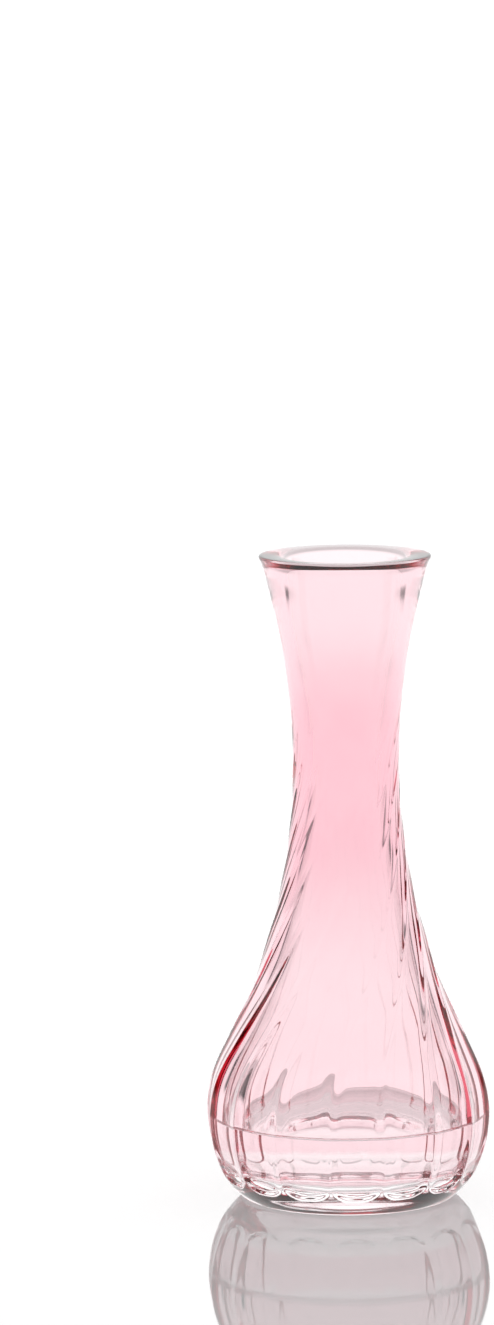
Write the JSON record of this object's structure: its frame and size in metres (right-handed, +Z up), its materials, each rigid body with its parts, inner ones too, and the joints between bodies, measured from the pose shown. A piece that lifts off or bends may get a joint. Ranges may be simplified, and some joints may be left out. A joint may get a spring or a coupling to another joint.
{
  "type": "glass bud vase",
  "caption": "Swirl-fluted rose-tinted glass bud vase with a round belly, narrow neck, flared lip and clear heavy foot, part filled with water; holds a cut flower stem.",
  "frame": {"origin": "centre of the foot, on the surface that the vase stands on", "axes": "+Z up along the vase's axis, from foot to mouth; -Y is the front, where the middle of one flute stands 2.8 degrees to the right; +X to the right seen from the front"},
  "size_m": [0.0828, 0.0828, 0.19],
  "materials": {
    "rose_glass": "polished clear soda-lime glass, rose lacquer tint that ends at the heel, foot left clear",
    "water": "still clear water"
  },
  "bodies": {
    "root": {"vase_body": "rose_glass", "water": "water"}
  },
  "joints": []
}
